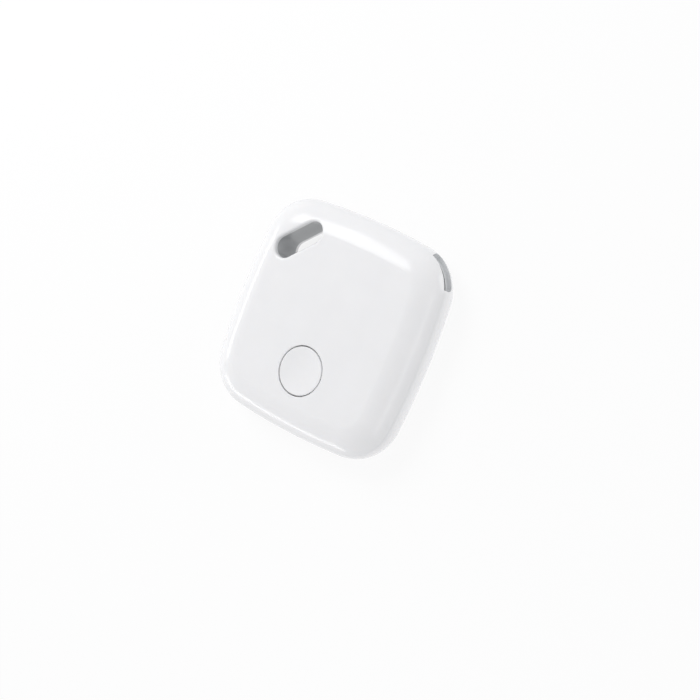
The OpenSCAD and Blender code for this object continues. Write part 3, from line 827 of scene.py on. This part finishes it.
# ---------------------------------------------------------------------------------------------------------
# Circuit board: 0.8 mm glass-fibre laminate with green solder mask. Rows of plated vias stitch its two
# ground layers together round the edge, and its sawn edge shows the bare laminate.

def masked_board():
    """Green solder mask over copper tracks, which show through paler and stand a little proud. The
    tracks run in bundles 0.4 mm apart that change direction from one area to the next."""
    material, tree, place = new_material("green solder mask on glass-fibre laminate")
    area = add(tree, "ShaderNodeVectorMath", {0: place, 1: (0.0031, 0.0043, 1.0)}, operation="SNAP")
    pick = add(tree, "ShaderNodeTexWhiteNoise", {"Vector": area.outputs["Vector"]}, noise_dimensions="3D")
    along_x, along_y = (
        add(tree, "ShaderNodeTexWave", {"Vector": place, "Scale": wave_scale / (0.4 * MM)},
            bands_direction=axis).outputs["Fac"] for axis in "YX")
    turned_area = maths(tree, pick.outputs["Value"], 0.5, "GREATER_THAN")
    tracks = add(tree, "ShaderNodeMix", {"Factor": turned_area, "A": along_x, "B": along_y})
    bare = add(tree, "ShaderNodeSeparateColor", {"Color": pick.outputs["Color"]})
    routed = maths(tree, bare.outputs["Green"], 0.42, "GREATER_THAN")
    copper = maths(tree, tracks.outputs["Result"], 0.55, "GREATER_THAN")
    shown = maths(tree, copper, maths(tree, 1.0, routed, "SUBTRACT"), "MAXIMUM")
    mask = mixed(tree, shown, linear("#14492c"), linear("#256b41"))
    facing = add(tree, "ShaderNodeNewGeometry")
    parts = add(tree, "ShaderNodeSeparateXYZ", {"Vector": facing.outputs["Normal"]})
    level = add(tree, "ShaderNodeMath", {0: parts.outputs["Z"]}, operation="ABSOLUTE")
    face = maths(tree, level.outputs["Value"], 0.5, "GREATER_THAN")
    laminate = mixed(tree, noise(tree, place, 2500.0), linear("#a8995a"), linear("#c6b97c"))
    return surface(material, tree, mixed(tree, face, laminate, mask), 0.3,
                   relief(tree, shown, 0.4, 0.03), {"IOR": 1.55})


def rolled_metal(name, dark, light, along, roughness):
    """Rolled or plated sheet metal with fine lines along X or Y, about 0.08 mm apart."""
    material, tree, place = new_material(name)
    drawn = (1.0, 14.0, 14.0) if along == "X" else (14.0, 1.0, 14.0)
    stretched = add(tree, "ShaderNodeMapping", {"Vector": place, "Scale": drawn})
    lines = noise(tree, stretched.outputs["Vector"], 900.0, 3.0)
    return surface(
        material, tree, two_tones(tree, lines, dark, light, 0.3, 0.7),
        between(tree, lines, roughness - 0.05, roughness + 0.08), relief(tree, lines, 0.3, 0.005),
        {"Metallic": 1.0})


def grow(name, points, edges, inputs, build, material, sizes=None):
    """Makes a repeated piece. The host is a few points, in millimetres, and the edges between them. build
    adds the nodes between the host and the result; each input is a named number."""
    host = bpy.data.meshes.new(name)
    host.from_pydata([Vector(p) * MM for p in points], edges, [])
    if sizes:
        stretch = host.attributes.new("stretch", "FLOAT_VECTOR", "POINT")
        for i, s in enumerate(sizes):
            stretch.data[i].vector = Vector(s) * MM
    tree = bpy.data.node_groups.new(name, "GeometryNodeTree")
    tree.interface.new_socket("Geometry", in_out="INPUT", socket_type="NodeSocketGeometry")
    sockets = {key: tree.interface.new_socket(key, in_out="INPUT", socket_type="NodeSocketFloat")
               for key in inputs}
    tree.interface.new_socket("Geometry", in_out="OUTPUT", socket_type="NodeSocketGeometry")
    start = tree.nodes.new("NodeGroupInput")
    many = build(tree, start)
    real = add(tree, "GeometryNodeRealizeInstances", {"Geometry": many})
    finish = add(tree, "GeometryNodeSetMaterial", {
        "Geometry": real.outputs["Geometry"], "Material": material})
    add(tree, "NodeGroupOutput", {"Geometry": finish.outputs["Geometry"]})
    piece = bpy.data.objects.new(name, host)
    bpy.context.scene.collection.objects.link(piece)
    modifier = piece.modifiers.new("grow", "NODES")
    modifier.node_group = tree
    for key, value in inputs.items():
        modifier[sockets[key].identifier] = value
    bpy.context.view_layer.update()
    mesh = bpy.data.meshes.new_from_object(piece.evaluated_get(bpy.context.evaluated_depsgraph_get()))
    piece.modifiers.remove(modifier)
    piece.data = mesh
    return piece


# Electroless gold over nickel, thin and slightly matte
pad_gold = rolled_metal("immersion gold on copper", "#c99b45", "#dfb866", "X", 0.3)
via_pitch, via_ring, via_wire = 1.5, 0.5, 0.1
board_in = side / 2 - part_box("main_board")[1].x / MM
board_low_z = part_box("main_board")[0].z / MM


def via_rows(tree, start):
    line = add(tree, "GeometryNodeMeshToCurve", {"Mesh": start.outputs["Geometry"]})
    even = add(tree, "GeometryNodeResampleCurve", {
        "Curve": line.outputs["Curve"], "Length": start.outputs["Via pitch"]}, mode="LENGTH")
    radius = add(tree, "ShaderNodeMath", {0: start.outputs["Ring diameter"], 1: 0.5}, operation="MULTIPLY")
    ring = add(tree, "GeometryNodeCurvePrimitiveCircle", {
        "Resolution": 14, "Radius": radius.outputs["Value"]})
    thick = add(tree, "ShaderNodeMath", {0: start.outputs["Ring width"], 1: 0.5}, operation="MULTIPLY")
    bead = add(tree, "GeometryNodeCurvePrimitiveCircle", {"Resolution": 6, "Radius": thick.outputs["Value"]})
    torus = add(tree, "GeometryNodeCurveToMesh", {"Curve": ring.outputs["Curve"],
                                                  "Profile Curve": bead.outputs["Curve"]})
    many = add(tree, "GeometryNodeInstanceOnPoints", {
        "Points": even.outputs["Curve"], "Instance": torus.outputs["Mesh"], "Scale": (1.0, 1.0, 0.4)})
    return many.outputs["Instances"]


# The rows keep clear of the screws and of the corner that is cut away beside the slot
def on_board(x, y):
    near_screw = min(math.hypot(x - sx * screw_c, y - sy * screw_c) for sx, sy in ((1, 1), (1, -1), (-1, -1)))
    return near_screw > 1.9 and slot_distance(x, y) > liner_wall + 1.4


points, edges = [], []
for z in (board_top, board_low_z):
    row = outline(board_in + 0.55)
    for p, q in zip(row, row[1:] + row[:1]):
        if on_board(*p) and on_board(*q):
            edges.append((len(points), len(points) + 1))
            points += [(*p, z), (*q, z)]
row_host = bmesh.new()
corners = [row_host.verts.new(p) for p in points]
for a, b in edges:
    row_host.edges.new((corners[a], corners[b]))
bmesh.ops.remove_doubles(row_host, verts=row_host.verts, dist=1e-4)
row_host.verts.index_update()
points = [tuple(v.co) for v in row_host.verts]
edges = [tuple(v.index for v in e.verts) for e in row_host.edges]
row_host.free()
vias = grow("board_vias", points, edges, {
    "Via pitch": via_pitch * MM, "Ring diameter": via_ring * MM, "Ring width": via_wire * MM},
    via_rows, pad_gold)
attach(vias, "front")
dress("main_board", masked_board())


# ---------------------------------------------------------------------------------------------------------
# Board screws and contacts: the three screws are cold-headed steel with a zinc finish. The contacts are
# stamped and bent from phosphor-bronze strip, gold-plated where they touch, and soldered by their feet.

dress("board_screws", rolled_metal("zinc-plated steel", "#a9adb3", "#c3c7cc", "X", 0.32))
contact_gold = rolled_metal("gold-plated phosphor bronze", "#d0a556", "#e6c382", "X", 0.22)
for node in ("negative_contact", "positive_contact", "buzzer_springs"):
    dress(node, contact_gold)


# ---------------------------------------------------------------------------------------------------------
# Chips and crystals: the radio chip is moulded in black epoxy round a leadframe whose pads show at its
# foot. Each crystal has a seam-welded nickel lid on a ceramic base, and the antenna is fired ceramic.

def framed(name, inner, outer, inner_rough, outer_rough, grain_mm, centre, half, axis):
    """Two finishes on one part: inner up to the distance half from its centre along an axis, and past it
    the metal outer."""
    material, tree, place = new_material(name)
    grain = noise(tree, place, 1 / (grain_mm * MM))
    moved = add(tree, "ShaderNodeVectorMath", {0: place, 1: tuple(v * MM for v in centre)},
                operation="SUBTRACT")
    size = add(tree, "ShaderNodeVectorMath", {0: moved.outputs["Vector"]}, operation="ABSOLUTE")
    along = add(tree, "ShaderNodeSeparateXYZ", {"Vector": size.outputs["Vector"]}).outputs
    distance = maths(tree, along["X"], along["Y"], "MAXIMUM") if axis == "XY" else along[axis]
    past = maths(tree, distance, half * MM, "GREATER_THAN")
    tints = [two_tones(tree, grain, dark, light, 0.3, 0.7) for dark, light in (inner, outer)]
    return surface(material, tree, mixed(tree, past, *tints), between(tree, past, inner_rough, outer_rough),
                   relief(tree, grain, 0.4, 0.01), {"Metallic": past})


def middle_of(node):
    low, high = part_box(node)
    return ((low.x + high.x) / 2 / MM, (low.y + high.y) / 2 / MM, low.z / MM)


tin = ("#b7b9bb", "#cdcfd0")
dress("radio_chip", framed("black moulding epoxy with tinned pads", ("#17181a", "#26272a"), tin, 0.45, 0.3,
                           0.08, middle_of("radio_chip"), 2.51, "XY"))
for node, lid in (("fast_crystal", 0.36), ("slow_crystal", 0.45)):
    dress(node, framed(
        f"{node.split('_')[0]} crystal's welded nickel lid and ceramic base",
        ("#3b3733", "#4c4741"), ("#bfc1c3", "#d3d5d6"), 0.5, 0.22, 0.1, middle_of(node), lid, "Z"))
dress("chip_antenna", framed(
    "fired antenna ceramic with silvered ends", ("#dfe3e6", "#edf0f2"), tin, 0.35, 0.3,
    0.12, middle_of("chip_antenna"), 1.3, "X"))


# ---------------------------------------------------------------------------------------------------------
# Boost coil: enamelled copper wire wound on a pressed ferrite bobbin. It makes the buzzer's voltage.

dress("boost_coil", moulded("pressed ferrite, dark grey", "#2b2c2e", "#3d3f42", 0.1, 0.5, 2.0, 0.02))


def enamelled_copper():
    """Copper wire under clear varnish: a warm metal with a slight change of tone from turn to turn."""
    material, tree, place = new_material("enamelled copper wire")
    tone = noise(tree, place, 3000.0)
    return surface(material, tree, two_tones(tree, tone, "#a3512b", "#c9754a"), 0.28,
                   relief(tree, tone, 0.2, 0.01), {"Metallic": 1.0, "Coat Weight": 0.5})


def copper_turns(tree, start):
    spiral = add(tree, "GeometryNodeCurveSpiral", {
        "Resolution": 28, "Rotations": start.outputs["Turns"], "Start Radius": start.outputs["Coil radius"],
        "End Radius": start.outputs["Coil radius"], "Height": start.outputs["Winding height"]})
    half = add(tree, "ShaderNodeMath", {0: start.outputs["Wire diameter"], 1: 0.5}, operation="MULTIPLY")
    section = add(tree, "GeometryNodeCurvePrimitiveCircle", {
        "Resolution": 8, "Radius": half.outputs["Value"]})
    wire = add(tree, "GeometryNodeCurveToMesh", {
        "Curve": spiral.outputs["Curve"], "Profile Curve": section.outputs["Curve"], "Fill Caps": True})
    many = add(tree, "GeometryNodeInstanceOnPoints", {
        "Points": start.outputs["Geometry"], "Instance": wire.outputs["Mesh"]})
    return many.outputs["Instances"]


coil_x, coil_y, coil_z = middle_of("boost_coil")
turns = grow("coil_winding", [(coil_x, coil_y, coil_z + 0.39)], [], {
    "Turns": 2.0, "Coil radius": 1.0 * MM, "Winding height": 0.26 * MM, "Wire diameter": 0.14 * MM},
    copper_turns, enamelled_copper())
turns.data.shade_smooth()
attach(turns, "front")


# ---------------------------------------------------------------------------------------------------------
# Capacitors and resistors: fired ceramic blocks with tinned end caps that are soldered to the board. The
# capacitors are tan, and the resistors' alumina has a black overcoat.

dress("store_capacitor", moulded("fired capacitor ceramic, tan", "#a88a62", "#b99b72", 0.15, 0.5, 1.6, 0.01))
dress("small_capacitors", moulded(
    "fired capacitor ceramic, brown", "#9a7a55", "#ad8d66", 0.1, 0.5, 1.6, 0.01))
dress("small_resistors", moulded("resistor overcoat, black", "#1b1c1e", "#2b2d30", 0.08, 0.35, 1.55, 0.01))


def blocks(node):
    """The lowest and highest corners of each separate block in a part, in millimetres."""
    work = bmesh.new()
    work.from_mesh(nodes[node].data)
    bmesh.ops.remove_doubles(work, verts=work.verts, dist=1e-7)
    left, found = set(work.verts), []
    while left:
        group, edge = set(), [left.pop()]
        while edge:
            vert = edge.pop()
            group.add(vert)
            for line in vert.link_edges:
                other = line.other_vert(vert)
                if other in left:
                    left.remove(other)
                    edge.append(other)
        found.append(([min(v.co[k] for v in group) / MM for k in range(3)],
                      [max(v.co[k] for v in group) / MM for k in range(3)]))
    work.free()
    return sorted(found)


def end_caps(tree, start):
    block = add(tree, "GeometryNodeMeshCube", {"Size": (1.0, 1.0, 1.0)})
    soft = add(tree, "GeometryNodeSubdivisionSurface", {
        "Mesh": block.outputs["Mesh"], "Level": 2, "Edge Crease": start.outputs["Crispness"]})
    stretch = add(tree, "GeometryNodeInputNamedAttribute", {"Name": "stretch"}, data_type="FLOAT_VECTOR")
    many = add(tree, "GeometryNodeInstanceOnPoints", {
        "Points": start.outputs["Geometry"], "Instance": soft.outputs["Mesh"],
        "Scale": stretch.outputs["Attribute"]})
    return many.outputs["Instances"]


points, sizes = [], []
for node in ("store_capacitor", "small_capacitors", "small_resistors"):
    for low, high in blocks(node):
        k = 0 if high[0] - low[0] > high[1] - low[1] else 1
        length = high[k] - low[k]
        for end in (low[k] + length * 0.11, high[k] - length * 0.11):
            place = [(a + b) / 2 for a, b in zip(low, high)]
            place[k] = end
            size = [b - a + 0.03 for a, b in zip(low, high)]
            size[k] = length * 0.22 + 0.03
            points.append(tuple(place))
            sizes.append(tuple(size))
caps = grow("soldered_end_caps", points, [], {"Crispness": 0.85}, end_caps,
            rolled_metal("reflowed tin", "#b4b6b8", "#d0d2d3", "Y", 0.3), sizes)
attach(caps, "front")


# ---------------------------------------------------------------------------------------------------------
# Buzzer: a disc of piezo ceramic, silvered on its free face, is glued to a brass plate. The plate hangs
# from the ceiling by a ring of foam tape, so that it can bend and sound.

def turned_rings(name, cx, cy, dark, light, roughness, edge_mm, edge_colour):
    """A disc with fine rings from its blanking and a plain rim of another colour past edge_mm."""
    material, tree, place = new_material(name)
    radius = add(tree, "ShaderNodeVectorMath", {0: level_from(tree, place, cx, cy)},
                 operation="LENGTH").outputs["Value"]
    streak = add(tree, "ShaderNodeTexNoise", {"W": radius, "Scale": 5000.0},
                 noise_dimensions="1D").outputs["Fac"]
    blotches = maths(tree, streak, noise(tree, place, 500.0, 3.0), "MULTIPLY")
    tint = two_tones(tree, blotches, dark, light, 0.1, 0.45)
    rim = maths(tree, radius, edge_mm * MM, "GREATER_THAN")
    return surface(
        material, tree, mixed(tree, rim, tint, linear(edge_colour)), roughness,
        relief(tree, streak, 0.3, 0.005), {"Metallic": maths(tree, 1.0, rim, "SUBTRACT")})


ceramic_r = (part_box("buzzer_ceramic")[1].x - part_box("buzzer_ceramic")[0].x) / 2 / MM
dress("buzzer_plate", turned_rings("blanked brass sheet", buzzer_x, buzzer_y, "#b58a3e", "#d3ab5c", 0.3,
                                   buzzer_r + 1, "#b58a3e"))
dress("buzzer_ceramic", turned_rings("silvered piezo ceramic", buzzer_x, buzzer_y, "#bdbbb4", "#d6d4cd", 0.42,
                                     ceramic_r - 0.45, "#d8cfb8"))


# ---------------------------------------------------------------------------------------------------------
# Switch and button pad: a black tray with a snap dome of spring steel, a pressed steel cover that clips
# over it, and a plunger. A die-cut silicone pad under the cap takes up the play.

dress("switch_base", moulded("moulded polyamide, black", "#16171a", "#25262a", 0.1, 0.45, 1.53, 0.01))

# The dome flattens under the plunger in the switch; here it is a piece of its own, a merged copy of the
# part's mesh with its own finish
spring_mesh = nodes["switch_dome"].data.copy()
work = bmesh.new()
work.from_mesh(spring_mesh)
bmesh.ops.remove_doubles(work, verts=work.verts, dist=1e-7)
work.to_mesh(spring_mesh)
work.free()
spring_mesh.shade_smooth()
spring_mesh.set_sharp_from_angle(angle=math.radians(40))
spring_mesh.materials.clear()
spring_mesh.materials.append(ringed_nickel(
    "formed stainless spring steel", button_x, button_y, 0.12, "#c2c3c4", "#d2d3d4", 0.2))
snap_dome = bpy.data.objects.new("switch_snap_dome", spring_mesh)
bpy.context.scene.collection.objects.link(snap_dome)
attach(snap_dome, "front")
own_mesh(snap_dome)
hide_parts("switch_dome")
dress("switch_cover", rolled_metal("pressed stainless sheet", "#a8aaac", "#c4c6c8", "Y", 0.28))
dress("switch_plunger", moulded("moulded polyamide, brown", "#6d4a33", "#7f5840", 0.1, 0.4, 1.53, 0.01))
dress("button_pad", moulded("die-cut silicone sheet, grey", "#7d8185", "#8b8f93", 0.2, 0.55, 1.41, 0.01, 0.1))


# ---------------------------------------------------------------------------------------------------------
# Sizes: the bounds of everything that is shown.

low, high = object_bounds()
